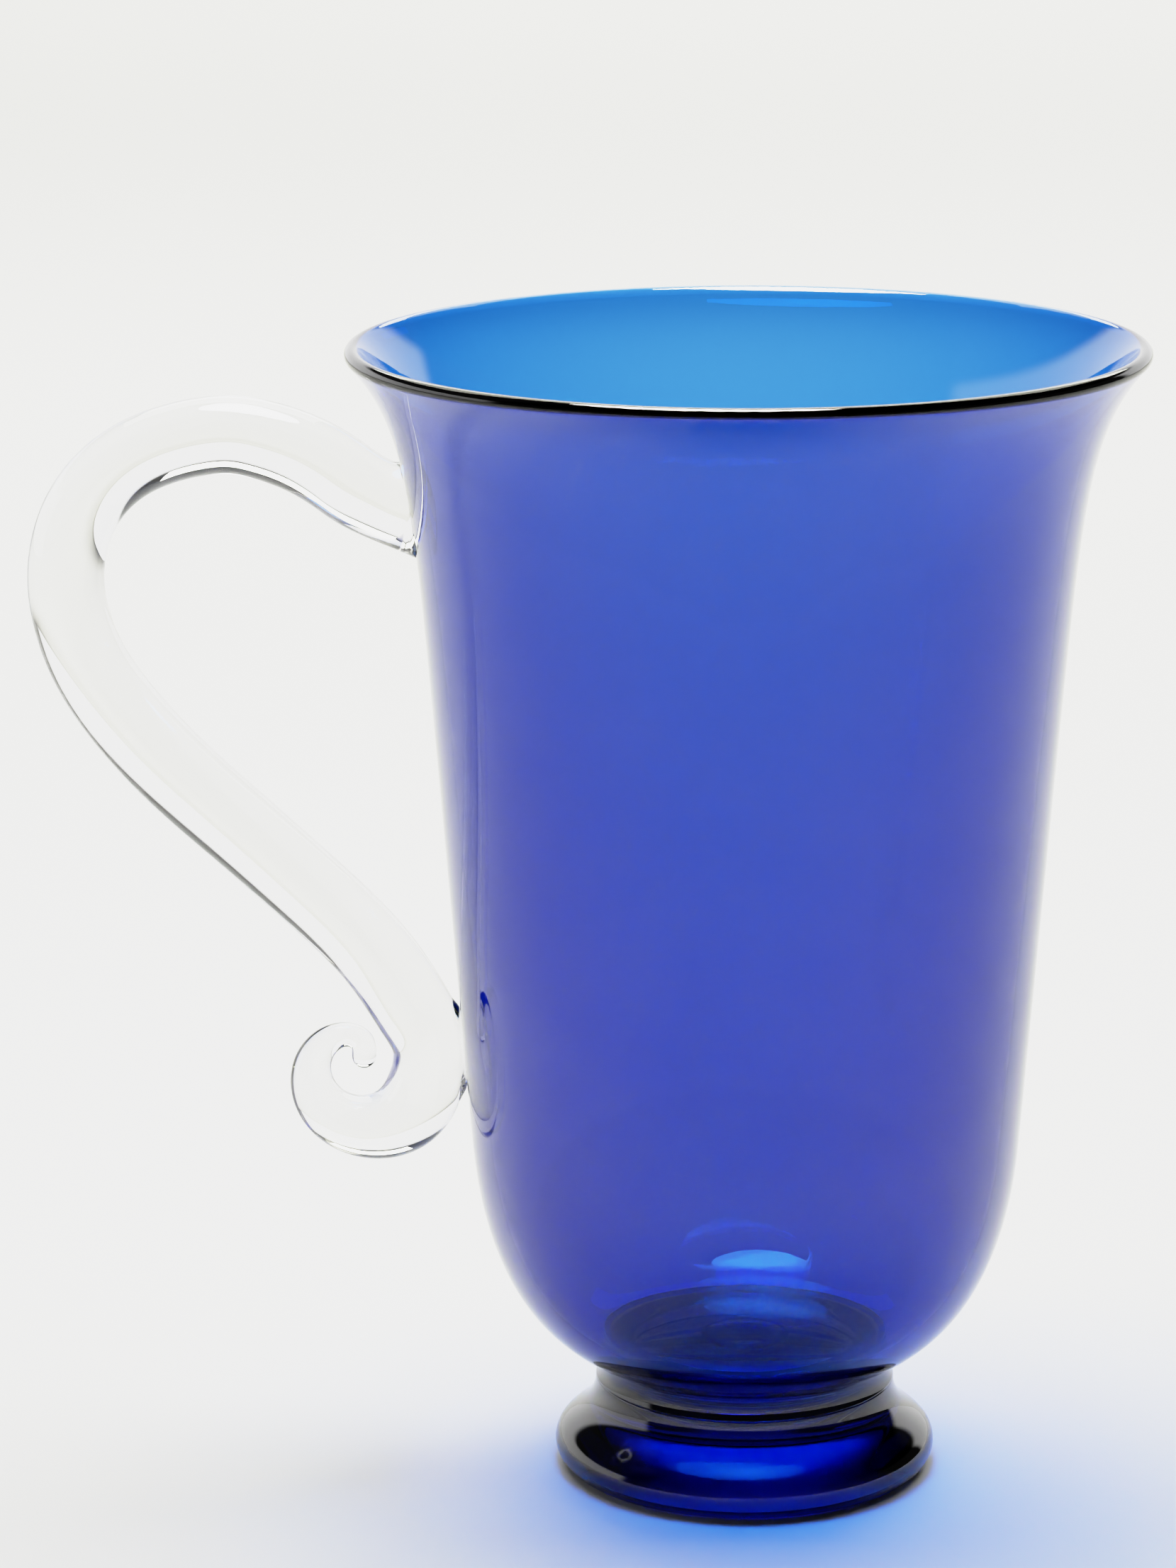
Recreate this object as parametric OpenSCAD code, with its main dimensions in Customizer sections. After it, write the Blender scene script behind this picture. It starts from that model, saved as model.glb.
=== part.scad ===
// Hand-blown footed glass cup: a flared cobalt bowl on a hollow bell foot,
// with a clear rod handle that ends in a scroll.
// The origin is the centre of the foot's resting ring, +Z is up, the handle points to -X.

/* [Bowl] */
// Height of the whole cup
cup_h = 140; // [125:1:160]
// Outside diameter of the lip
rim_d = 95.7; // [90:0.1:104]
// Thickness of the rounded lip
lip_t = 1.9; // [1.7:0.1:2.6]
// Lean of the wall at the lip, in degrees from upright
lip_lean = 43.5; // [35:0.5:50]
// Height over which the lip's extra thickness fades into the wall
lip_fade = 3; // [1:0.5:6]
// How far the flare carries the lip out beyond the line of the wall
lip_flare_w = 6.5; // [5:0.1:8.5]
// Outside diameter of the bowl at the belly, above its rounded bottom
belly_d = 67; // [62:0.1:74]
// Height of the belly above the table
belly_z = 42; // [39:1:50]
// Thickness of the wall under the lip
wall_t = 1.6; // [1.2:0.1:2.2]
// Thickness of the wall at the belly
belly_t = 2.3; // [1.8:0.1:3]
// Thickness of the glass at the middle of the bottom
base_t = 2.4; // [2:0.1:4]
// How softly the level floor eases into the rounded wall
floor_ease = 0.6; // [0.3:0.1:1.2]
// Slope of the bottom where it meets the neck, in degrees from level
base_slope = 26; // [15:1:35]

/* [Neck and foot] */
// Diameter of the waist of the neck ring
neck_d = 36.2; // [32:0.2:42]
// Height of the neck ring
neck_h = 2.8; // [2:0.1:6]
// How far the neck ring's edges stand out beyond its waist
neck_flare = 0.3; // [0.2:0.1:0.8]
// Diameter of the hollow through the neck ring
neck_bore_d = 29; // [24:0.5:31]
// Largest diameter of the foot
foot_d = 46.9; // [42:0.1:56]
// Height of the foot
foot_h = 11.4; // [9:0.1:16]
// Radius of the foot's rounded outer edge
foot_edge_r = 2.9; // [2:0.1:3.6]
// Slope of the foot's flank, in degrees from level
foot_slope = 48; // [40:1:60]
// Width of the flat ring that the foot stands on
foot_flat_w = 0.6; // [0.4:0.1:1.2]
// Radius of the foot's rounded inner edge
foot_lip_r = 0.4; // [0.3:0.1:0.8]
// Diameter of the pontil mark under the bowl
pontil_d = 11; // [8:0.5:16]
// Height of the pontil mark's raised ring
pontil_h = 0.8; // [0.5:0.1:1.2]
// Thickness of glass in the hollow at the middle of the pontil mark
pontil_dip_h = 0.3; // [0.2:0.05:0.5]

/* [Handle] */
// Thickness of the handle's rod
rod_d = 10; // [8:0.2:12]
// Height at which the rod's upper end joins the bowl
weld_top_z = 120; // [112:1:122]
// Height at which the rod's lower bend joins the bowl
weld_low_z = 52; // [48:1:58]
// How far the middle of the rod stands out from the bowl
handle_reach = 43.4; // [36:0.1:50]
// How deep the rod's lower bend was pressed against the bowl
weld_press = 0.8; // [0.5:0.1:1.2]
// Radius of the scroll at its start
scroll_r = 8.4; // [7.8:0.1:9.4]
// Drop of the scroll's centre below the lower join
scroll_drop = 1.8; // [0:0.2:4]
// Thickness of the scroll's blunt tip
tip_d = 3; // [2.4:0.1:3.6]

/* [Hidden] */

cobalt = [0.16, 0.27, 0.72];
deep_cobalt = [0.05, 0.09, 0.42];
clear_glass = [0.86, 0.89, 0.90];

$fn = 96;
// steps along a wall, along a curved stretch, round a small edge
wall_steps = 40;
curve_steps = 18;
edge_steps = 8;
floor_steps = 10;
// steps between two stations of the handle's route, and sides of the rod
rod_steps = 5;
rod_sides = 20;
dome_steps = 4;

// The rounded stretches are cubic curves. A pull is the length of the curve's
// handle at an end, as a share of the stretch it belongs to.
outer_low_pull_share = 0.31;
outer_high_pull_share = 0.75;
foot_high_pull_share = 0.6;
foot_low_pull_share = 0.3;
hollow_low_pull_share = 0.75;
hollow_high_pull_share = 0.33;

function blend(a, b, t) = a + (b - a) * t;

function curve(p, q, r, s, steps) = [
  for (i = [0:steps])
    let (t = i / steps, u = 1 - t)
    p * u * u * u + 3 * q * u * u * t + 3 * r * u * t * t + s * t * t * t
];

// Directions of the same curve, square to it and to its left
function curve_sides(p, q, r, s, steps) = [
  for (i = [0:steps])
    let (
      t = i / steps,
      u = 1 - t,
      d = (q - p) * u * u + 2 * (r - q) * u * t + (s - r) * t * t
    )
    [-d[1], d[0]] / norm(d)
];

function arc(c, r, from, to, steps) = [
  for (i = [0:steps])
    let (a = blend(from, to, i / steps))
    c + r * [cos(a), sin(a)]
];

// Bowl: the wall widens evenly above the belly, and its flare grows towards the lip.
lip_r = lip_t / 2;
lip_c = [rim_d / 2 - lip_r, cup_h - lip_r];
lip_out = lip_c + lip_r * [cos(lip_lean), -sin(lip_lean)];
lip_z = lip_out[1];
wall_rise = (rim_d / 2 - lip_flare_w - belly_d / 2) / (cup_h - belly_z);
flare_w = lip_out[0] - (belly_d / 2 + wall_rise * (lip_z - belly_z));
flare_len = flare_w / (tan(lip_lean) - wall_rise);
neck_z = foot_h + neck_h;
floor_z = neck_z + base_t;

function flare(z) = flare_w * exp((z - lip_z) / flare_len);
function wall_r(z) = belly_d / 2 + wall_rise * (z - belly_z) + flare(z);
function wall_lean(z) = atan(wall_rise + flare(z) / flare_len);
function wall_thick(z) =
  let (share = (z - belly_z) / (lip_z - belly_z))
  blend(belly_t, wall_t, share) + (lip_t - wall_t) * exp((z - lip_z) / lip_fade);
function wall_in(z) =
  [wall_r(z), z] - wall_thick(z) * [cos(wall_lean(z)), -sin(wall_lean(z))];

base_r = neck_d / 2 + neck_flare;
base_run = belly_d / 2 - base_r;
base_rise = belly_z - neck_z;
belly_out = [wall_r(belly_z), belly_z];
belly_lean = wall_lean(belly_z);
// the lip's wall stations lie closer together towards the lip
wall_z = [for (i = [0:wall_steps]) blend(belly_z, lip_z, sin(90 * i / wall_steps))];

bottom_pulls = [
  [base_r, neck_z],
  [base_r, neck_z] + base_run * outer_low_pull_share * [cos(base_slope), sin(base_slope)],
  belly_out - base_rise * outer_high_pull_share * [sin(belly_lean), cos(belly_lean)],
  belly_out
];
bottom_out = curve(bottom_pulls[0], bottom_pulls[1], bottom_pulls[2], bottom_pulls[3], curve_steps);
bottom_sides =
  curve_sides(bottom_pulls[0], bottom_pulls[1], bottom_pulls[2], bottom_pulls[3], curve_steps);

// The inside follows the outside at the wall's thickness, and settles on a level floor.
function settled(z) = floor_z + floor_ease * ln(1 + exp((z - floor_z) / floor_ease));
inner_corner = bottom_out[0] + base_t * bottom_sides[0];

function bottom_in() = concat(
  [
    for (i = [curve_steps:-1:1])
      let (p = bottom_out[i] + blend(base_t, belly_t, i / curve_steps) * bottom_sides[i])
      [p[0], settled(p[1])]
  ],
  [
    for (i = [0:floor_steps])
      let (r = inner_corner[0] * (1 - i / floor_steps))
      [r, settled(inner_corner[1] - (inner_corner[0] - r) * tan(base_slope))]
  ]
);

function inner_steps() = [for (i = [1:wall_steps - 1]) wall_in(wall_z[wall_steps - i])];

function bowl_outer() = concat(
  bottom_out,
  [for (i = [1:wall_steps]) [wall_r(wall_z[i]), wall_z[i]]]
);

module bowl() {
  color(cobalt)
    rotate_extrude()
      polygon(concat(
        [[0, neck_z]],
        bowl_outer(),
        arc(lip_c, lip_r, -lip_lean, 180 - lip_lean, edge_steps),
        inner_steps(),
        bottom_in()
      ));
}

// The bowl as one lump, which the handle's ends are shaped against.
module bowl_lump() {
  rotate_extrude()
    polygon(concat(
      [[0, neck_z]],
      bowl_outer(),
      [[0, lip_z]]
    ));
}

// Neck ring: a short waisted spool between the bowl and the foot.
module neck_ring() {
  edge_r = neck_d / 2 + neck_flare;
  hollow_r = (neck_h * neck_h / 4 + neck_flare * neck_flare) / (2 * neck_flare);
  hollow_a = asin(neck_h / 2 / hollow_r);
  waist_c = [neck_d / 2 + hollow_r, foot_h + neck_h / 2];
  color(deep_cobalt)
    rotate_extrude()
      polygon(concat(
        [[neck_bore_d / 2, foot_h], [edge_r, foot_h]],
        arc(waist_c, hollow_r, 180 + hollow_a, 180 - hollow_a, edge_steps),
        [[edge_r, neck_z], [neck_bore_d / 2, neck_z]]
      ));
}

// Foot: an open bell with a rounded edge, resting on a narrow flat ring.
module foot() {
  top_r = neck_d / 2 + neck_flare;
  edge_c = [foot_d / 2 - foot_edge_r, foot_edge_r];
  edge = arc(edge_c, foot_edge_r, -90, 90 - foot_slope, curve_steps);
  shoulder = edge[curve_steps];
  rise = foot_h - shoulder[1];
  mouth_r = edge_c[0] - foot_flat_w - foot_lip_r;
  hollow_rise = foot_h - foot_lip_r;
  bore_r = neck_bore_d / 2;
  color(deep_cobalt)
    rotate_extrude()
      polygon(concat(
        arc([mouth_r + foot_lip_r, foot_lip_r], foot_lip_r, 180, 270, edge_steps),
        edge,
        curve(
          shoulder,
          shoulder + rise * foot_low_pull_share * [-cos(foot_slope), sin(foot_slope)],
          [top_r, foot_h - rise * foot_high_pull_share],
          [top_r, foot_h],
          curve_steps
        ),
        curve(
          [bore_r, foot_h],
          [bore_r, foot_h - hollow_rise * hollow_high_pull_share],
          [mouth_r, foot_lip_r + hollow_rise * hollow_low_pull_share],
          [mouth_r, foot_lip_r],
          curve_steps
        )
      ));
}

// Pontil mark: the rough ring of glass left where the cup was cracked off its rod.
pontil_shares = [[0.45, 0.15], [0.62, 0.75], [0.73, 1], [0.84, 0.8], [0.95, 0.3]];

module pontil_mark() {
  color(deep_cobalt)
    translate([0, 0, neck_z])
      rotate_extrude()
        polygon(concat(
          [[0, 0], [0, -pontil_dip_h]],
          [
            for (s = pontil_shares)
              [s[0] * pontil_d / 2, -blend(pontil_dip_h, pontil_h, s[1])]
          ],
          [[pontil_d / 2, 0]]
        ));
}

// Handle: stations along the middle of the rod, from inside the upper join to the
// lower join. Each is the distance out from the bowl as a share of the reach, the
// height as a share of the way from the lower join to the upper, and the thickness
// as a share of the rod's.
route_shares = [
  [-0.08, 0.98, 0.95],
  [0.013, 0.997, 0.95],
  [0.125, 1.03, 0.975],
  [0.2, 1.065, 0.98],
  [0.29, 1.099, 0.97],
  [0.395, 1.122, 0.955],
  [0.505, 1.13, 0.94],
  [0.65, 1.113, 0.93],
  [0.775, 1.078, 0.92],
  [0.87, 1.027, 0.915],
  [0.938, 0.96, 0.92],
  [0.974, 0.878, 0.925],
  [0.969, 0.79, 0.935],
  [0.909, 0.68, 0.965],
  [0.756, 0.543, 1.0],
  [0.57, 0.421, 0.99],
  [0.386, 0.304, 0.98],
  [0.228, 0.19, 0.975],
  [0.13, 0.08, 0.97]
];
// The scroll winds in from its start angle by one turn at most, slower at first.
// Its stations lie closer together towards the tip.
scroll_start = 26;
scroll_wind = 303.5;
scroll_power = 0.52;
scroll_first_share = 0.115;
scroll_last_share = 0.96;
scroll_thin_share = 0.67;
scroll_thin_power = 1.45;
scroll_stations = 9;
rod_press_share = 0.93;
fit_passes = 12;

low_join = [wall_r(weld_low_z), weld_low_z];
top_join = [wall_r(weld_top_z), weld_top_z];
scroll_c = low_join + [rod_d / 2 - weld_press + scroll_r, -scroll_drop];

function station(s) =
  let (p = blend(low_join, top_join, s[1]))
  [p[0] + s[0] * handle_reach, p[1], s[2] * rod_d];

function scroll_station(t) =
  let (
    r = scroll_r * pow(1 - t, scroll_power),
    a = scroll_start - scroll_wind * (1 - (1 - t) * (1 - t)),
    full = max(1 - (t - scroll_first_share) / (scroll_thin_share - scroll_first_share), 0),
    p = scroll_c + r * [-cos(a), sin(a)]
  )
  [p[0], p[1], blend(tip_d, rod_press_share * rod_d, pow(full, scroll_thin_power))];

stations = concat(
  [for (s = route_shares) station(s)],
  [[low_join[0] + rod_d / 2 - weld_press, low_join[1], rod_press_share * rod_d]],
  [
    for (i = [0:scroll_stations])
      scroll_station(blend(scroll_first_share, scroll_last_share, i / scroll_stations))
  ]
);

// A smooth curve that passes through the stations: its control points are moved
// by what each station is missed by, a few times over.
last = len(stations) - 1;
function at_knot(c, i) = (c[max(i - 1, 0)] + 4 * c[i] + c[min(i + 1, last)]) / 6;
function fitted(c, passes) =
  passes == 0 ? c : fitted([for (i = [0:last]) c[i] + stations[i] - at_knot(c, i)], passes - 1);
controls = fitted(stations, fit_passes);

function on_route(i, t) =
  let (
    u = 1 - t,
    a = controls[max(i - 1, 0)],
    b = controls[i],
    c = controls[i + 1],
    d = controls[min(i + 2, last)]
  )
  (a * u * u * u + b * (3 * t * t * t - 6 * t * t + 4)
    + c * (3 * u * u * u - 6 * u * u + 4) + d * t * t * t) / 6;

route = concat(
  [for (i = [0:last - 1], j = [0:rod_steps - 1]) on_route(i, j / rod_steps)],
  [on_route(last - 1, 1)]
);
route_end = len(route) - 1;

function heading(i) =
  let (
    a = route[max(i - 1, 0)],
    b = route[min(i + 1, route_end)],
    d = [b[0] - a[0], b[1] - a[1]]
  )
  d / norm(d);

function rod_ring(p, d, r) = [
  for (j = [0:rod_sides - 1])
    let (
      a = 360 * j / rod_sides,
      side = [-d[1], d[0]] * r * cos(a),
      q = [p[0] + side[0], p[1] + side[1]]
    )
    [-q[0], r * sin(a), q[1]]
];

function dome_ring(k) =
  let (
    p = route[route_end],
    d = heading(route_end),
    a = 90 * k / dome_steps,
    q = [p[0], p[1]] + d * p[2] / 2 * sin(a)
  )
  rod_ring(q, d, p[2] / 2 * cos(a));

module rod() {
  rings = concat(
    [for (i = [0:route_end]) rod_ring(route[i], heading(i), route[i][2] / 2)],
    [for (k = [1:dome_steps - 1]) dome_ring(k)]
  );
  n = rod_sides;
  m = len(rings);
  tip = route[route_end];
  tip_dir = heading(route_end) * tip[2] / 2;
  points = concat(
    [for (ring = rings) each ring],
    [[-route[0][0], 0, route[0][1]], [-tip[0] - tip_dir[0], 0, tip[1] + tip_dir[1]]]
  );
  polyhedron(
    points,
    concat(
      [
        for (i = [0:m - 2], j = [0:n - 1], half = [0:1])
          let (k = (j + 1) % n)
          half == 0
            ? [i * n + j, (i + 1) * n + k, i * n + k]
            : [i * n + j, (i + 1) * n + j, (i + 1) * n + k]
      ],
      [for (j = [0:n - 1]) [m * n, j, (j + 1) % n]],
      [for (j = [0:n - 1]) [m * n + 1, (m - 1) * n + (j + 1) % n, (m - 1) * n + j]]
    )
  );
}

module handle() {
  color(clear_glass)
    difference() {
      rod();
      bowl_lump();
    }
}

bowl();
neck_ring();
foot();
pontil_mark();
handle();
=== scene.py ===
# %% [markdown]
# # A footed glass cup with a scroll handle
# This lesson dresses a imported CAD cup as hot-worked glass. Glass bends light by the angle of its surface,
# so the flat facets of a CAD mesh would show as cuts: that is why every piece is built again here with
# smooth outlines.

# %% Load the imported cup
import math

import bmesh
import bpy
import numpy as np
from mathutils import Matrix, Vector


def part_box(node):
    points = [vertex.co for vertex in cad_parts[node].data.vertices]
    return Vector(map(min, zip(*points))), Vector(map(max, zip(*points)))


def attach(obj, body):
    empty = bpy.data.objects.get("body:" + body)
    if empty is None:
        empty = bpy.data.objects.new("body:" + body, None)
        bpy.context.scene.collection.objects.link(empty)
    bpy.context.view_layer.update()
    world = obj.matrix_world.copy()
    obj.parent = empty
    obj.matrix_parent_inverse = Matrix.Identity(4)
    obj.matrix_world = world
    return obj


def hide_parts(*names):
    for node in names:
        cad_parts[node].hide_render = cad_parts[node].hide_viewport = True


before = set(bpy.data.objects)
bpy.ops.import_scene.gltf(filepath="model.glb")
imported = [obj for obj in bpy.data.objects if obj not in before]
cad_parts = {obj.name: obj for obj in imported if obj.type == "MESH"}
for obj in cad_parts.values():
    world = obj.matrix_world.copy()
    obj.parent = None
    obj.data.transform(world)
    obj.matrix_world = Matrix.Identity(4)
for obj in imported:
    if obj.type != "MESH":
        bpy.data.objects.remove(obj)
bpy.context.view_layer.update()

MM = 0.001
print("CAD nodes:", sorted(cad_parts))

# %% [markdown]
# ## The driving sizes
# The frame gives the size of each node, so a change to the CAD changes the scene too. What a box can't
# tell, such as the lean of the lip or the thickness of a wall, is named here in millimetres.

# %% Sizes of the cup
bowl_low, bowl_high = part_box("bowl")
neck_low, neck_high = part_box("neck_ring")
foot_low, foot_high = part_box("foot")
pontil_low, pontil_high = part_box("pontil_mark")
handle_low, handle_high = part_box("handle")

cup_h = bowl_high.z / MM
rim_d = (bowl_high.x - bowl_low.x) / MM
lip_t = 1.9
lip_lean = math.radians(43.5)
lip_fade = 3.0
lip_flare_w = 6.5
belly_d = 67.0
belly_z = 42.0
wall_t = 1.6
belly_t = 2.3
base_t = 2.4
floor_ease = 0.6
base_slope = math.radians(26)

foot_d = (foot_high.x - foot_low.x) / MM
foot_h = foot_high.z / MM
foot_edge_r = 2.9
foot_slope = math.radians(48)
foot_flat_w = 0.6
foot_lip_r = 0.4
neck_z = neck_high.z / MM
neck_flare = 0.3
neck_r = (neck_high.x - neck_low.x) / MM / 2 - neck_flare
neck_bore_r = 14.5
pontil_r = (pontil_high.x - pontil_low.x) / MM / 2
pontil_h = (pontil_high.z - pontil_low.z) / MM
print(f"cup {cup_h:.1f} mm tall, lip {rim_d:.1f} mm, foot {foot_d:.1f} mm across")
print(f"handle from {handle_low.z / MM:.1f} to {handle_high.z / MM:.1f} mm above the table")

# %% [markdown]
# ## Curves for turned glass
# A blown bowl is spun while it is soft, so it is a solid of revolution. Its outline is made of the same few
# cubic curves and arcs as the CAD's, with many more points: a ray that is bent twice doubles each corner.

# %% Outline helpers


def cubic(p, q, r, s, steps):
    """Points along a cubic curve from p to s, drawn by its two pulls q and r."""
    t = np.linspace(0, 1, steps + 1)[:, None]
    u = 1 - t
    p, q, r, s = (np.array(v, float) for v in (p, q, r, s))
    return p * u**3 + 3 * q * u * u * t + 3 * r * u * t * t + s * t**3


def arc(centre, radius, start, end, steps):
    """Points along an arc, with its angles in degrees."""
    a = np.radians(np.linspace(start, end, steps + 1))[:, None]
    return np.array(centre, float) + radius * np.hstack([np.cos(a), np.sin(a)])


def joined(*runs):
    """Runs of points as one outline, without the doubles where two runs meet."""
    points = np.vstack(runs)
    step = np.linalg.norm(np.diff(points, axis=0), axis=1)
    return points[np.concatenate([[True], step > 1e-6])]


# %% [markdown]
# ## The bowl's wall
# The wall leans out a little all the way up, and flares close to the lip. An exponential curve does
# that: it is almost nothing at the belly and grows fast near the top. The inside follows the outside,
# at the wall's thickness.

# %% The bowl's wall
lip_r = lip_t / 2
lip_c = np.array([rim_d / 2 - lip_r, cup_h - lip_r])
lip_out = lip_c + lip_r * np.array([math.cos(lip_lean), -math.sin(lip_lean)])
lip_z = lip_out[1]
wall_rise = (rim_d / 2 - lip_flare_w - belly_d / 2) / (cup_h - belly_z)
flare_w = lip_out[0] - (belly_d / 2 + wall_rise * (lip_z - belly_z))
flare_len = flare_w / (math.tan(lip_lean) - wall_rise)
floor_z = neck_z + base_t
base_r = neck_r + neck_flare


def wall_r(z):
    """Outer radius of the bowl above its belly."""
    return belly_d / 2 + wall_rise * (z - belly_z) + flare_w * np.exp((z - lip_z) / flare_len)


def wall_lean(z):
    """How far the wall leans out from upright, in radians."""
    return np.arctan(wall_rise + flare_w * np.exp((z - lip_z) / flare_len) / flare_len)


def wall_inside(z):
    """Point of the inner wall that faces the outer wall at height z."""
    z = np.asarray(z, float)
    share = (z - belly_z) / (lip_z - belly_z)
    thick = belly_t + (wall_t - belly_t) * share + (lip_t - wall_t) * np.exp((z - lip_z) / lip_fade)
    lean = wall_lean(z)
    return np.stack([wall_r(z) - thick * np.cos(lean), z + thick * np.sin(lean)], axis=-1)


def settled(z):
    """A height that is never under the level floor of the bowl, and eases into it."""
    return floor_z + floor_ease * np.log1p(np.exp((z - floor_z) / floor_ease))


# %% [markdown]
# ## The bowl's outline
# The outline is one run of points, from the neck ring's edge up to the lip and down the inside to the
# axis. Its steps are shorter where the handle is fused to the wall, so that both meet on the same
# shape.

# %% The bowl's outline
base_pull_out, belly_pull_down = 0.31, 0.75
bottom_steps = 80
weld_step, wall_step, free_step = 0.3, 1.0, 1.5
near_lip_z, inside_steps = 120, 60


def bowl_outline(low_weld, high_weld):
    """The bowl's outline from the neck ring's edge: outside, over the lip, and down the inside."""
    lean = wall_lean(belly_z)
    up = np.array([math.sin(lean), math.cos(lean)])
    belly_out = np.array([wall_r(belly_z), belly_z])
    corner = np.array([base_r, neck_z])
    along_base = np.array([math.cos(base_slope), math.sin(base_slope)])
    bottom = cubic(
        corner,
        corner + (belly_d / 2 - base_r) * base_pull_out * along_base,
        belly_out - (belly_z - neck_z) * belly_pull_down * up,
        belly_out,
        bottom_steps,
    )
    z = np.concatenate([
        np.arange(belly_z, low_weld[0], wall_step),
        np.arange(low_weld[0], low_weld[1], weld_step),
        np.arange(low_weld[1], high_weld[0], free_step),
        np.arange(high_weld[0], high_weld[1], weld_step),
        np.linspace(high_weld[1], lip_z, 40),
    ])
    outside = np.stack([wall_r(z), z], axis=-1)
    lean_deg = math.degrees(lip_lean)
    lip = arc(lip_c, lip_r, -lean_deg, 180 - lean_deg, 24)
    near_lip = np.linspace(lip_z, near_lip_z, inside_steps)
    below_lip = np.linspace(near_lip_z - wall_step, belly_z, inside_steps)
    inside = wall_inside(np.concatenate([near_lip, below_lip]))
    # the inside follows the outside at the wall's thickness, and settles on a level floor
    along = np.gradient(bottom, axis=0)
    across = np.stack([-along[:, 1], along[:, 0]], axis=-1) / np.linalg.norm(along, axis=1)[:, None]
    thick = np.linspace(base_t, belly_t, len(bottom))[:, None]
    hollow = (bottom + thick * across)[::-1]
    inner_corner = corner + base_t * np.array([-along_base[1], along_base[0]])
    r = np.linspace(inner_corner[0], 0, 40)
    floor_run = np.stack([r, inner_corner[1] - (inner_corner[0] - r) * math.tan(base_slope)], axis=-1)
    hollow = np.vstack([hollow[:-1], floor_run])
    hollow[:, 1] = settled(hollow[:, 1])
    return joined(bottom, outside, lip, inside, hollow[1:])


# %% [markdown]
# ## One function that turns an outline
# The outline is turned round the cup's axis. The steps round are closer together next to the handle,
# because the faces that the handle is fused to have to follow its outline. The faces are shaded smooth,
# so that the steps leave no trace in the glass.

# %% Turn an outline


def turn_angles(close=12.0, close_steps=72, wide_steps=220):
    """Angles round the cup, closer together at the handle's side, which is 180 degrees."""
    near = np.linspace(180 - close, 180 + close, close_steps + 1)
    far = np.linspace(180 + close, 540 - close, wide_steps + 1)[1:-1]
    return np.radians(np.concatenate([near, far]))


def mesh_piece(name, vertices, faces):
    """An object with a smooth mesh, put in the scene."""
    mesh = bpy.data.meshes.new(name)
    mesh.from_pydata(vertices, [], faces)
    mesh.validate()
    mesh.shade_smooth()
    piece = bpy.data.objects.new(name, mesh)
    bpy.context.scene.collection.objects.link(piece)
    return piece


def turned(name, outline, angles, closed=False):
    """A piece turned from an outline of (radius, height) in millimetres. The outline runs anticlockwise, so
    that its right side is outside."""
    vertices, rows = [], []
    for r, z in outline:
        if r < 1e-6:
            rows.append([len(vertices)] * len(angles))
            vertices.append((0.0, 0.0, z * MM))
        else:
            rows.append(list(range(len(vertices), len(vertices) + len(angles))))
            vertices += [(r * math.cos(a) * MM, r * math.sin(a) * MM, z * MM) for a in angles]
    faces = []
    n = len(angles)
    pairs = list(zip(rows, rows[1:]))
    if closed:
        pairs.append((rows[-1], rows[0]))
    for a, b in pairs:
        for j in range(n):
            m = (j + 1) % n
            face = [a[j], a[m], b[m], b[j]]
            face = [v for i, v in enumerate(face) if v != face[i - 1]]
            if len(face) > 2:
                faces.append(face)
    return mesh_piece(name, vertices, faces)


def place(piece, node):
    """The piece stands for a CAD node and rides with the cup. Glass needs its faces to look outwards, so a
    piece that was built inside out is turned round."""
    shape = bmesh.new()
    shape.from_mesh(piece.data)
    volume = shape.calc_volume(signed=True) / MM**3
    if volume < 0:
        bmesh.ops.reverse_faces(shape, faces=shape.faces)
        shape.to_mesh(piece.data)
        volume = -volume
    shape.free()
    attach(piece, "root")
    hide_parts(node)
    print(f"{piece.name}: {len(piece.data.polygons)} faces, {volume:.0f} cubic mm")
    return piece


# %% [markdown]
# ## The blown bowl
# The outline starts in the middle of the bowl's underside, so that the turned piece is closed. Only a
# closed mesh has an inside, and the colour of glass sits in its inside.

# %% Turn the bowl
low_weld_z, high_weld_z = (43.0, 61.0), (111.0, 129.0)
bowl_points = bowl_outline(low_weld_z, high_weld_z)
underside = np.stack([np.linspace(1, base_r, 20), np.full(20, neck_z)], axis=-1)
bowl_points = joined([(0, neck_z)], underside, bowl_points)
bowl = place(turned("cobalt_bowl", bowl_points, turn_angles()), "bowl")

# %% [markdown]
# ## Neck ring, foot and pontil mark
# The neck is a short waisted ring, the foot an open bell with a rounded edge. They are turned the same
# way. Two pieces of glass that share a face would confuse the renderer, so a hair of air is left
# between them.

# %% Turn the neck ring
GAP = 0.02
neck_h = neck_z - foot_h
hollow_r = (neck_h**2 / 4 + neck_flare**2) / (2 * neck_flare)
hollow_a = math.degrees(math.asin(neck_h / 2 / hollow_r))
waist = arc((neck_r + hollow_r, foot_h + neck_h / 2), hollow_r, 180 + hollow_a, 180 - hollow_a, 24)
waist[:, 1] = np.clip(waist[:, 1], foot_h + GAP, neck_z - GAP)
neck_points = joined([(neck_bore_r, foot_h + GAP)], waist, [(neck_bore_r, neck_z - GAP)])
neck = place(turned("neck_ring_glass", neck_points, turn_angles(), closed=True), "neck_ring")

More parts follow.
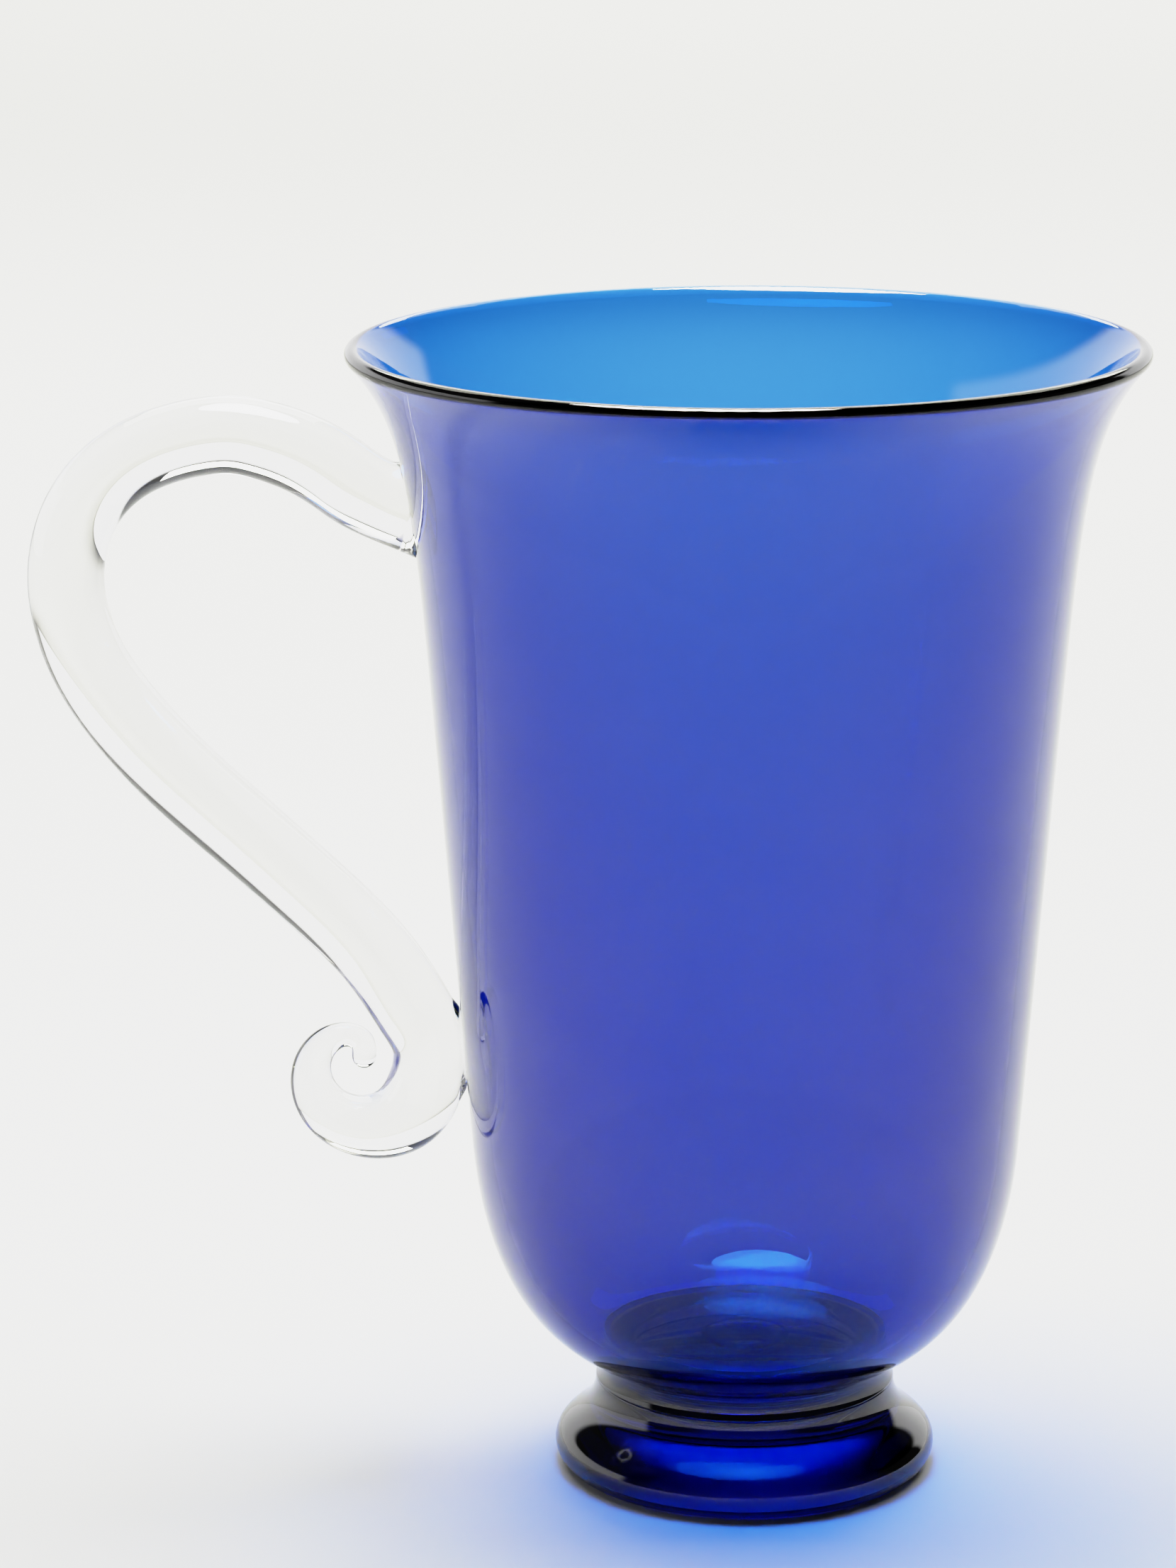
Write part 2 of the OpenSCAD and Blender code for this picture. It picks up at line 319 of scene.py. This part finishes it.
# %% Turn the foot
flank_pull_in, flank_pull_down = 0.3, 0.6
hollow_pull_down, hollow_pull_up = 0.33, 0.75
edge_c = np.array([foot_d / 2 - foot_edge_r, foot_edge_r])
edge = arc(edge_c, foot_edge_r, -90, 90 - math.degrees(foot_slope), 40)
shoulder = edge[-1]
rise = foot_h - shoulder[1]
mouth_r = edge_c[0] - foot_flat_w - foot_lip_r
hollow_rise = foot_h - foot_lip_r
flank = cubic(
    shoulder,
    shoulder + rise * flank_pull_in * np.array([-math.cos(foot_slope), math.sin(foot_slope)]),
    (base_r, foot_h - rise * flank_pull_down),
    (base_r, foot_h),
    40,
)
hollow = cubic(
    (neck_bore_r, foot_h),
    (neck_bore_r, foot_h - hollow_rise * hollow_pull_down),
    (mouth_r, foot_lip_r + hollow_rise * hollow_pull_up),
    (mouth_r, foot_lip_r),
    40,
)
inner_lip = arc((mouth_r + foot_lip_r, foot_lip_r), foot_lip_r, 180, 270, 10)
foot_points = joined(inner_lip, edge, flank, hollow[:-1])
foot = place(turned("bell_foot", foot_points, turn_angles(), closed=True), "foot")

# %% Turn the pontil mark
pontil_dip = 0.3
pontil_chamfer_w, pontil_chamfer_h = 0.1, 0.02
pontil_shares = [(0.0, 0.0), (0.45, 0.15), (0.62, 0.75), (0.73, 1.0), (0.84, 0.8), (0.95, 0.3)]
top = neck_z - GAP
pontil_fall = pontil_h - pontil_dip
pontil_low_run = [(s * pontil_r, neck_z - (pontil_dip + pontil_fall * d)) for s, d in pontil_shares]
pontil_top_run = [(pontil_r, top - pontil_chamfer_h), (pontil_r - pontil_chamfer_w, top), (0, top)]
pontil_points = joined(pontil_low_run, pontil_top_run)
pontil = place(turned("pontil_scar", pontil_points, turn_angles()), "pontil_mark")

# %% [markdown]
# ## The clear handle
# The handle is a gather of clear glass: stuck under the lip, drawn out into an arch, pressed on the bowl
# lower down and curled up at its end. Its middle line is a smooth curve through a few stations, and its
# rings of points stand square to that line.

# %% The handle's route
rod_d = 10.0
weld_top_z, weld_low_z = 120.0, 52.0
handle_reach = 43.4
weld_press = 0.8
scroll_r, scroll_drop = 8.4, 1.8
tip_d = 3.0
route_shares = [
    (-0.08, 0.98, 0.95), (0.013, 0.997, 0.95), (0.125, 1.03, 0.975), (0.2, 1.065, 0.98),
    (0.29, 1.099, 0.97), (0.395, 1.122, 0.955), (0.505, 1.13, 0.94), (0.65, 1.113, 0.93),
    (0.775, 1.078, 0.92), (0.87, 1.027, 0.915), (0.938, 0.96, 0.92), (0.974, 0.878, 0.925),
    (0.969, 0.79, 0.935), (0.909, 0.68, 0.965), (0.756, 0.543, 1.0), (0.57, 0.421, 0.99),
    (0.386, 0.304, 0.98), (0.228, 0.19, 0.975), (0.13, 0.08, 0.97),
]
scroll_start, scroll_wind, scroll_power = 26.0, 303.5, 0.52
scroll_first, scroll_last, scroll_stations = 0.115, 0.96, 9
scroll_thin, scroll_thin_power, rod_press = 0.67, 1.45, 0.93
low_join = np.array([wall_r(weld_low_z), weld_low_z])
top_join = np.array([wall_r(weld_top_z), weld_top_z])
scroll_c = low_join + [rod_d / 2 - weld_press + scroll_r, -scroll_drop]


def route_station(out, up, thick):
    """A station from its shares: out from the bowl, up from the lower weld to the upper, and thickness."""
    p = low_join + (top_join - low_join) * up
    return [p[0] + out * handle_reach, p[1], thick * rod_d]


def scroll_station(t):
    """A station of the scroll, from 0 where it starts to 1 in its middle."""
    r = scroll_r * (1 - t) ** scroll_power
    a = math.radians(scroll_start - scroll_wind * (1 - (1 - t) ** 2))
    full = max(1 - (t - scroll_first) / (scroll_thin - scroll_first), 0)
    thick = tip_d + (rod_press * rod_d - tip_d) * full**scroll_thin_power
    return [scroll_c[0] - r * math.cos(a), scroll_c[1] + r * math.sin(a), thick]


stations = np.array(
    [route_station(*s) for s in route_shares]
    + [[low_join[0] + rod_d / 2 - weld_press, low_join[1], rod_press * rod_d]]
    + [scroll_station(t) for t in np.linspace(scroll_first, scroll_last, scroll_stations + 1)]
)


# %% [markdown]
# ### A smooth line through the stations
# A cubic B-spline bends evenly, but it cuts its corners. So its control points are pushed out a few
# times, each time by what the curve still misses, until it passes through the stations.

# %% Smooth the route


def ends_doubled(c):
    return np.vstack([c[:1], c, c[-1:]])


def smooth_route(stations, per_station):
    """Points and thicknesses along a smooth curve that passes through the stations."""
    controls = stations.copy()
    for _ in range(12):
        c = ends_doubled(controls)
        controls = controls + stations - (c[:-2] + 4 * c[1:-1] + c[2:]) / 6
    c = ends_doubled(controls)
    t = np.arange(per_station)[:, None] / per_station
    u = 1 - t
    out = []
    for i in range(len(stations) - 1):
        p, q, r, s = c[i : i + 4]
        q_pull = 3 * t**3 - 6 * t * t + 4
        r_pull = 3 * u**3 - 6 * u * u + 4
        out.append((p * u**3 + q * q_pull + r * r_pull + s * t**3) / 6)
    end = (c[-3] + 4 * c[-2] + c[-1]) / 6
    return np.vstack(out + [end[None]])


points_per_station = 14
route = smooth_route(stations, points_per_station)
print(f"handle route of {len(route)} points")

# %% [markdown]
# ### Rings of points, and the two welds
# The rod starts inside the bowl. Each of its long lines is cut where it leaves the wall, and it spreads
# there into a small skirt, as soft glass does. Lower down the rod is pressed on the bowl: what would
# stand inside the wall lies flat on it, and what comes close is drawn to it.

# %% Rings and walls
rod_sides = 56
skirt_w, skirt_len = 0.11, 2.6
pull_from, pull_to = 0.15, 1.0


def ring_points(row, tangent):
    """A ring of points round the route, square to it, in the cup's own millimetres."""
    a = np.linspace(0, 2 * math.pi, rod_sides, endpoint=False)
    side = row[2] / 2 * np.cos(a)
    x = -(row[0] - tangent[1] * side)
    y = row[2] / 2 * np.sin(a)
    z = row[1] + tangent[0] * side
    return np.stack([x, y, z], axis=-1)


def outside_by(p):
    """How far points stand out from the bowl's wall, level with it."""
    return np.hypot(p[..., 0], p[..., 1]) - wall_r(p[..., 2])


def on_wall(p, gap=GAP):
    """Points moved level onto the bowl's wall."""
    r = np.hypot(p[..., 0], p[..., 1])
    k = (wall_r(p[..., 2]) + gap) / r
    return np.stack([p[..., 0] * k, p[..., 1] * k, p[..., 2]], axis=-1)


# %% [markdown]
# ### From the rings to the skirt and the tip
# The rings are cut into three runs: the skirt at the upper weld, the free rod, and a small dome at the tip.

# %% Cut the rings into runs
skirt_rows = 15
tip_turns = [18, 36, 54, 72]


def handle_rings(route):
    """The rings of the skirt, of the rod and of the rounded tip, and the tip's last point."""
    tangents = np.gradient(route[:, :2], axis=0)
    tangents /= np.linalg.norm(tangents, axis=1)[:, None]
    rings = np.array([ring_points(r, t) for r, t in zip(route, tangents)])
    out = outside_by(rings)
    first = next(i for i in range(len(rings)) if out[i].min() > 0)
    # where each long line leaves the wall, as a fraction of the rows
    leave = np.empty(rod_sides)
    for j in range(rod_sides):
        i = max(k for k in range(first) if out[k, j] <= 0)
        leave[j] = i - out[i, j] / (out[i + 1, j] - out[i, j])
    length = np.concatenate([[0], np.cumsum(np.linalg.norm(np.diff(route[:, :2], axis=0), axis=1))])
    clear = next(i for i in range(first, len(rings)) if length[i] > length[first] + skirt_len)
    skirt = []
    for u in np.linspace(0, 1, skirt_rows):
        row = np.empty((rod_sides, 3))
        for j in range(rod_sides):
            t = leave[j] + (clear - leave[j]) * u
            i = min(int(t), len(rings) - 2)
            p = rings[i, j] + (rings[i + 1, j] - rings[i, j]) * (t - i)
            mid = route[i] + (route[i + 1] - route[i]) * (t - i)
            centre = np.array([-mid[0], 0, mid[1]])
            row[j] = p + (p - centre) * skirt_w * (1 - u) ** 3
        skirt.append(on_wall(row) if u == 0 else row)
    rest = rings[clear + 1 :]
    tip, heading = route[-1], tangents[-1]
    dome = []
    for a in np.radians(tip_turns):
        q = np.array([*(tip[:2] + heading * tip[2] / 2 * math.sin(a)), tip[2] * math.cos(a)])
        dome.append(ring_points(q, heading))
    end = tip[:2] + heading * tip[2] / 2
    return np.array(skirt), rest, np.array(dome), np.array([-end[0], 0, end[1]])


def pressed(points):
    """Points drawn to the bowl's wall where they lie in it or close to it."""
    d = outside_by(points)
    t = np.clip((d - pull_from) / (pull_to - pull_from), 0, 1)
    share = t * t * (3 - 2 * t)
    r = np.hypot(points[..., 0], points[..., 1])
    to = wall_r(points[..., 2]) + GAP + np.maximum(d - GAP, 0) * share
    k = np.where(d < pull_to, to / r, 1)
    return np.stack([points[..., 0] * k, points[..., 1] * k, points[..., 2]], axis=-1)


# %% [markdown]
# ### The handle's mesh
# Each ring is joined to the next by four-sided faces. The first end is closed by a disc that lies on
# the bowl's wall, the other by the rounded tip.

# %% Build the handle
skirt, rest, dome, rod_tip = handle_rings(route)
start_disc = []
middle = skirt[0].mean(axis=0)
disc_shares = (0.25, 0.5, 0.75, 0.9)
for s in disc_shares:
    start_disc.append(on_wall(middle + (skirt[0] - middle) * s))
rings = np.concatenate([np.array(start_disc), skirt, pressed(rest), dome])
vertices = [*map(tuple, rings.reshape(-1, 3) * MM)]
vertices += [tuple(on_wall(middle) * MM), tuple(rod_tip * MM)]
m, n = len(rings), rod_sides
faces = []
for i in range(m - 1):
    for j in range(n):
        k = (j + 1) % n
        faces.append((i * n + j, (i + 1) * n + j, (i + 1) * n + k, i * n + k))
faces += [(m * n, j, (j + 1) % n) for j in range(n)]
faces += [(m * n + 1, (m - 1) * n + (j + 1) % n, (m - 1) * n + j) for j in range(n)]
handle = place(mesh_piece("scroll_handle", vertices, faces), "handle")

# %% [markdown]
# ## Glass
# Soda-lime glass has an index of refraction of about 1.52. Clear glass is nearly colourless in a rod this
# thick. Cobalt glass gets its colour from what it takes out of the light along the way through it, so the
# colour is a volume and not a coat: thin walls look bright blue, thick ones navy.

# %% Glass materials


def linear(hex_colour):
    """An sRGB hex colour as linear red, green, blue and alpha."""
    parts = [int(hex_colour[i : i + 2], 16) / 255 for i in (1, 3, 5)]
    return [c / 12.92 if c <= 0.04045 else ((c + 0.055) / 1.055) ** 2.4 for c in parts] + [1.0]


def add_node(tree, kind, settings=None, **inputs):
    """Adds a node, sets what is given, and links what comes from another node."""
    node = tree.nodes.new(kind)
    for key, value in (settings or {}).items():
        setattr(node, key, value)
    for key, value in inputs.items():
        socket = node.inputs[int(key[1:]) if key[0] == "i" and key[1:].isdigit() else key.replace("_", " ")]
        if isinstance(value, bpy.types.NodeSocket):
            tree.links.new(value, socket)
        else:
            socket.default_value = value
    return node


# %% [markdown]
# ### The glass itself
# Worked glass is never quite flat, so a faint bump stands for its ripples, one in about 9 mm. The
# absorption node wants a density and a colour, and both are worked out from the light that is lost
# along each millimetre.

# %% Make and hand out the glass
ripples_per_m = 110.0
colour_margin = 1.02


def glass_material(name, taken_per_mm, ior=1.52, roughness=0.0):
    """Glass that takes these shares of red, green and blue out of the light along each millimetre."""
    material = bpy.data.materials.new(name)
    material.use_nodes = True
    tree = material.node_tree
    tree.nodes.clear()
    place_on = add_node(tree, "ShaderNodeTexCoord").outputs["Object"]
    ripple = add_node(
        tree, "ShaderNodeTexNoise", Vector=place_on, Scale=ripples_per_m, Detail=2.0, Roughness=0.45,
    )
    bump = add_node(tree, "ShaderNodeBump", Height=ripple.outputs["Fac"], Strength=0.03, Distance=0.0006)
    shell = add_node(
        tree, "ShaderNodeBsdfPrincipled", Base_Color=[1, 1, 1, 1], Roughness=roughness, IOR=ior,
        Transmission_Weight=1.0, Normal=bump.outputs["Normal"],
    )
    density = max(taken_per_mm) / MM * colour_margin
    colour = [1 - t / MM / density for t in taken_per_mm] + [1.0]
    body = add_node(tree, "ShaderNodeVolumeAbsorption", Color=colour, Density=density)
    out = add_node(tree, "ShaderNodeOutputMaterial")
    tree.links.new(shell.outputs["BSDF"], out.inputs["Surface"])
    tree.links.new(body.outputs["Volume"], out.inputs["Volume"])
    return material


cobalt = glass_material("Cobalt blown glass", (1.8, 0.9, 0.27))
deep_cobalt = glass_material("Cobalt worked glass", (2.5, 1.3, 0.55))
clear = glass_material("Clear hot-worked glass", (0.013, 0.013, 0.016))
finishes = (bowl, cobalt), (neck, deep_cobalt), (foot, deep_cobalt), (pontil, deep_cobalt), (handle, clear)
for piece, finish in finishes:
    piece.data.materials.append(finish)
    print(piece.name, "is", finish.name)

# %% [markdown]
# ## A pale floor and soft studio light
# Glass shows what stands round it, so the light matters more than the material. The floor is matt white
# paper, and it lies a hair under the foot.

# %% Floor
floor_mesh = bpy.data.meshes.new("floor")
half = 3.0
corners = [(-half, -half, 0), (half, -half, 0), (half, half, 0), (-half, half, 0)]
floor_mesh.from_pydata(corners, [], [(0, 1, 2, 3)])
floor = bpy.data.objects.new("floor", floor_mesh)
floor.location.z = -0.01 * MM
bpy.context.scene.collection.objects.link(floor)
paper = bpy.data.materials.new("Matt white paper")
paper.use_nodes = True
tree = paper.node_tree
tree.nodes.clear()
grain = add_node(tree, "ShaderNodeTexNoise", Scale=900.0, Detail=3.0)
bump = add_node(tree, "ShaderNodeBump", Height=grain.outputs["Fac"], Strength=0.02, Distance=0.0005)
paper_white = linear("#eeeeed")
matt = add_node(
    tree, "ShaderNodeBsdfDiffuse", Color=paper_white, Roughness=0.6, Normal=bump.outputs["Normal"],
)
out = add_node(tree, "ShaderNodeOutputMaterial")
tree.links.new(matt.outputs["BSDF"], out.inputs["Surface"])
floor_mesh.materials.append(paper)
print(f"floor {2 * half:.0f} m wide")

# %% [markdown]
# ### The room round the cup
# A pale band stands low behind the cup and to its left. The room is dark elsewhere, and that darkness
# draws the thin dark lines along the edges of the clear rod.

# %% Studio light
world = bpy.data.worlds.new("studio")
bpy.context.scene.world = world
world.use_nodes = True
tree = world.node_tree
tree.nodes.clear()
direction = add_node(tree, "ShaderNodeTexCoord").outputs["Generated"]
axes = add_node(tree, "ShaderNodeSeparateXYZ", Vector=direction)
# how far behind the cup a direction points, from -1 at the camera's side to 1 in the middle of the band
band_towards = (-0.47, 0.88, 0.0)
rearward = add_node(tree, "ShaderNodeVectorMath", {"operation": "DOT_PRODUCT"}, i0=direction, i1=band_towards)
behind = add_node(
    tree, "ShaderNodeMapRange", {"interpolation_type": "SMOOTHSTEP"}, Value=rearward.outputs["Value"],
    From_Min=0.2, From_Max=0.32, To_Min=0.02, To_Max=1.0,
)
# the light stands low round the cup, and overhead it is dark
low = add_node(
    tree, "ShaderNodeMapRange", {"interpolation_type": "SMOOTHSTEP"}, Value=axes.outputs["Z"],
    From_Min=0.3, From_Max=0.38, To_Min=2.1, To_Max=0.05,
)
strength = add_node(
    tree, "ShaderNodeMath", {"operation": "MULTIPLY"}, i0=behind.outputs[0], i1=low.outputs[0],
)
light = add_node(tree, "ShaderNodeBackground", Color=linear("#ffffff"), Strength=strength.outputs[0])
out = add_node(tree, "ShaderNodeOutputWorld")
tree.links.new(light.outputs["Background"], out.inputs["Surface"])

# %% [markdown]
# ### The lamps
# The main lamp hangs over the cup and throws the blue glow on the floor. Its bright middle, the fill
# lamp and the lamp behind the cup have one or two kinds of ray switched off. No real lamp can do that:
# it is a renderer's way to set a highlight, a fill or a backdrop by itself.

# %% Soft lamps


def softbox(name, place_at, look_at, width, depth, watts, spread=180, shape="RECTANGLE", tint="#ffffff"):
    """A wide soft lamp that looks at a point. A spread under 180 degrees stands for its honeycomb grid."""
    data = bpy.data.lights.new(name, "AREA")
    data.shape = shape
    data.spread = math.radians(spread)
    data.size, data.size_y, data.energy = width, depth, watts
    data.color = linear(tint)[:3]
    lamp = bpy.data.objects.new(name, data)
    bpy.context.scene.collection.objects.link(lamp)
    lamp.location = place_at
    lamp.rotation_euler = (Vector(look_at) - lamp.location).to_track_quat("-Z", "Y").to_euler()
    return lamp


aim = (-0.03, 0.04, 0)
softbox("softbox_over_cup", (-0.045, 0.055, 0.55), aim, 0.26, 0.18, 0.66, 90, "ELLIPSE")
catch = softbox("bright_middle_of_softbox", (-0.045, 0.055, 0.549), aim, 0.26, 0.28, 3.1, 90, "ELLIPSE")
catch.visible_diffuse = False
wide = softbox("wide_softbox", (0.0, 0.18, 1.0), (0.0, 0.18, 0), 1.3, 0.7, 13.5)
wide.visible_glossy = False
wide.visible_transmission = False
warm = "#fffff1"
behind_lamp = softbox("softbox_behind_cup", (0.0, 0.75, 0.9), (0.0, 0.6, 0), 1.4, 0.6, 7.3, 120, tint=warm)
behind_lamp.visible_transmission = False
softbox("softbox_for_backdrop", (0.1, 1.9, 1.1), (0.1, 1.9, 0), 1.8, 0.9, 39.0, tint=warm)

# %% [markdown]
# ## The camera
# The photograph looks down on the cup at about 14 degrees through a long lens.

# %% Camera
camera_away, camera_up = 0.6313, 0.2385
camera_pitch, camera_yaw, camera_roll = (math.radians(a) for a in (13.564, 1.736, 0.217))
lens_px, frame_h_px = 7580, 2212
camera_data = bpy.data.cameras.new("camera")
camera_data.sensor_width = 36
camera_data.lens = lens_px / frame_h_px * camera_data.sensor_width
camera_data.clip_start = 0.01
camera = bpy.data.objects.new("camera", camera_data)
bpy.context.scene.collection.objects.link(camera)
camera.matrix_world = (
    Matrix.Translation((0, -camera_away, camera_up))
    @ Matrix.Rotation(camera_yaw, 4, "Z")
    @ Matrix.Rotation(math.pi / 2 - camera_pitch, 4, "X")
    @ Matrix.Rotation(-camera_roll, 4, "Z")
)
bpy.context.scene.camera = camera
print(f"lens {camera_data.lens:.1f} mm, {camera_away * 1000:.0f} mm in front of the cup")

# %% [markdown]
# ## Light paths and tones
# A ray crosses many glass faces before it gets out of a cup, so it needs many bounces. The curve then
# gives the picture the contrast of a camera.

# %% How light is followed
scene = bpy.context.scene
scene.view_settings.view_transform = "Standard"
# a camera's curve: it deepens the darkest tones, and gently bends over towards white
white_at, toe, knee, bend = 6.0, 0.02, 0.9, 3.0
scene.view_settings.use_curve_mapping = True
mapping = scene.view_settings.curve_mapping
mapping.white_level = (white_at,) * 3
tones = mapping.curves[3]
tones.points[0].location = (0, 0)
tones.points[1].location = (1, knee)
tone_steps = (0.006, 0.015, 0.03, 0.06, 0.1, 0.17, 0.3, 0.5, 0.7, 0.9, 1.2, 1.6, 2.1, 3.0, 4.2)
for x in tone_steps:
    tones.points.new(x / white_at, x / (x + toe) * x / (1 + (x / knee) ** bend) ** (1 / bend))
mapping.update()
scene.cycles.blur_glossy = 0.0
scene.cycles.max_bounces = 32
scene.cycles.transmission_bounces = 32
scene.cycles.glossy_bounces = 16
scene.cycles.transparent_max_bounces = 32
